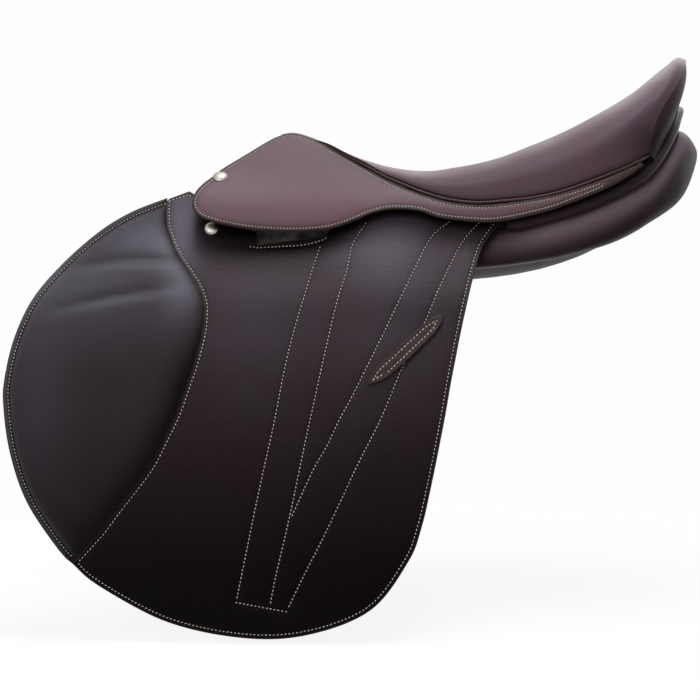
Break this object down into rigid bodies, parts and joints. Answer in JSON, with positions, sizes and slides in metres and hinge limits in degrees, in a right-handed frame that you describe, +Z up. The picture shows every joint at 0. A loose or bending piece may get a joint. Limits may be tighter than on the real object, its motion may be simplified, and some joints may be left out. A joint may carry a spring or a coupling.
{
  "type": "jumping saddle",
  "caption": "Close-contact leather jumping saddle with forward padded flaps that lift, skirts over the stirrup bars, girth straps and stuffed panels.",
  "frame": {"origin": "on the centre plane, in the middle of the length of the panels that bears on the back", "axes": "+X from the pommel to the cantle, +Z up, -Y towards the near (left) side"},
  "size_m": [0.5979, 0.3848, 0.4957],
  "materials": {
    "seat_leather": "smooth polished calf leather",
    "flap_leather": "lightly grained leather",
    "soft_leather": "soft padded leather",
    "welt_leather": "rolled dark piping",
    "foam": "latex foam",
    "wood": "laminated beech",
    "webbing": "linen web",
    "bar_steel": "brushed",
    "silver": "polished nickel"
  },
  "bodies": {
    "tree": {"seat_cover": "seat_leather", "seat_foam": "foam", "seat_web": "webbing", "tree_head": "wood", "tree_cantle": "wood", "head_plate": "bar_steel", "cantle_plate": "bar_steel", "cantle_back": "soft_leather", "rear_roll": "soft_leather", "pommel_facing": "soft_leather", "left_seat_welt": "welt_leather", "left_tree_bar": "wood", "left_flap_head": "flap_leather", "left_bar_patch": "webbing", "left_point_stud": "silver", "left_skirt_head": "seat_leather", "left_skirt_nail": "silver", "left_sweat_flap": "soft_leather", "left_knee_block": "soft_leather", "left_thigh_block": "soft_leather", "left_stirrup_bar": "bar_steel", "left_girth_web": "webbing", "left_panel": "soft_leather", "left_point_pocket": "soft_leather", "right_seat_welt": "welt_leather", "right_tree_bar": "wood", "right_flap_head": "flap_leather", "right_bar_patch": "webbing", "right_point_stud": "silver", "right_skirt_head": "seat_leather", "right_skirt_nail": "silver", "right_sweat_flap": "soft_leather", "right_knee_block": "soft_leather", "right_thigh_block": "soft_leather", "right_stirrup_bar": "bar_steel", "right_girth_web": "webbing", "right_panel": "soft_leather", "right_point_pocket": "soft_leather"},
    "left_flap": {"left_flap": "flap_leather", "left_knee_pad": "soft_leather", "left_leather_keeper": "flap_leather"},
    "left_skirt": {"left_skirt": "seat_leather"},
    "left_bar_catch": {"left_bar_catch": "bar_steel"},
    "left_girth_straps": {"left_front_girth_strap": "flap_leather", "left_rear_girth_strap": "flap_leather"},
    "left_buckle_guard": {"left_buckle_guard": "flap_leather"},
    "right_flap": {"right_flap": "flap_leather", "right_knee_pad": "soft_leather", "right_leather_keeper": "flap_leather"},
    "right_skirt": {"right_skirt": "seat_leather"},
    "right_bar_catch": {"right_bar_catch": "bar_steel"},
    "right_girth_straps": {"right_front_girth_strap": "flap_leather", "right_rear_girth_strap": "flap_leather"},
    "right_buckle_guard": {"right_buckle_guard": "flap_leather"}
  },
  "joints": [
    {"name": "left_flap_hinge", "type": "hinge", "parent": "tree", "child": "left_flap", "pos_m": [-0.3, -0.10309, 0.0227], "axis": [-0.9961, 0.0771, 0.0422], "range_deg": [0, 75]},
    {"name": "left_skirt_hinge", "type": "hinge", "parent": "tree", "child": "left_skirt", "pos_m": [-0.203, -0.10616, 0.072], "axis": [-0.9878, 0.0843, 0.1307], "range_deg": [0, 65]},
    {"name": "left_catch_hinge", "type": "hinge", "parent": "tree", "child": "left_bar_catch", "pos_m": [-0.10675, -0.10202, 0.047], "axis": [0, -1, 0], "range_deg": [0, 60]},
    {"name": "left_strap_swing", "type": "hinge", "parent": "tree", "child": "left_girth_straps", "pos_m": [-0.0725, -0.11937, 0], "axis": [0, -0.9903, 0.139], "range_deg": [-5, 5]},
    {"name": "left_guard_slide", "type": "slide", "parent": "left_girth_straps", "child": "left_buckle_guard", "axis": [0, 0.139, 0.9903], "range_m": [-0.035, 0.025]},
    {"name": "right_flap_hinge", "type": "hinge", "parent": "tree", "child": "right_flap", "pos_m": [-0.3, 0.10309, 0.0227], "axis": [0.9961, 0.0771, -0.0422], "range_deg": [0, 75]},
    {"name": "right_skirt_hinge", "type": "hinge", "parent": "tree", "child": "right_skirt", "pos_m": [-0.203, 0.10616, 0.072], "axis": [0.9878, 0.0843, -0.1307], "range_deg": [0, 65]},
    {"name": "right_catch_hinge", "type": "hinge", "parent": "tree", "child": "right_bar_catch", "pos_m": [-0.10675, 0.10202, 0.047], "axis": [0, -1, 0], "range_deg": [0, 60]},
    {"name": "right_strap_swing", "type": "hinge", "parent": "tree", "child": "right_girth_straps", "pos_m": [-0.0725, 0.11937, 0], "axis": [0, -0.9903, -0.139], "range_deg": [-5, 5]},
    {"name": "right_guard_slide", "type": "slide", "parent": "right_girth_straps", "child": "right_buckle_guard", "axis": [0, -0.139, 0.9903], "range_m": [-0.035, 0.025]}
  ]
}
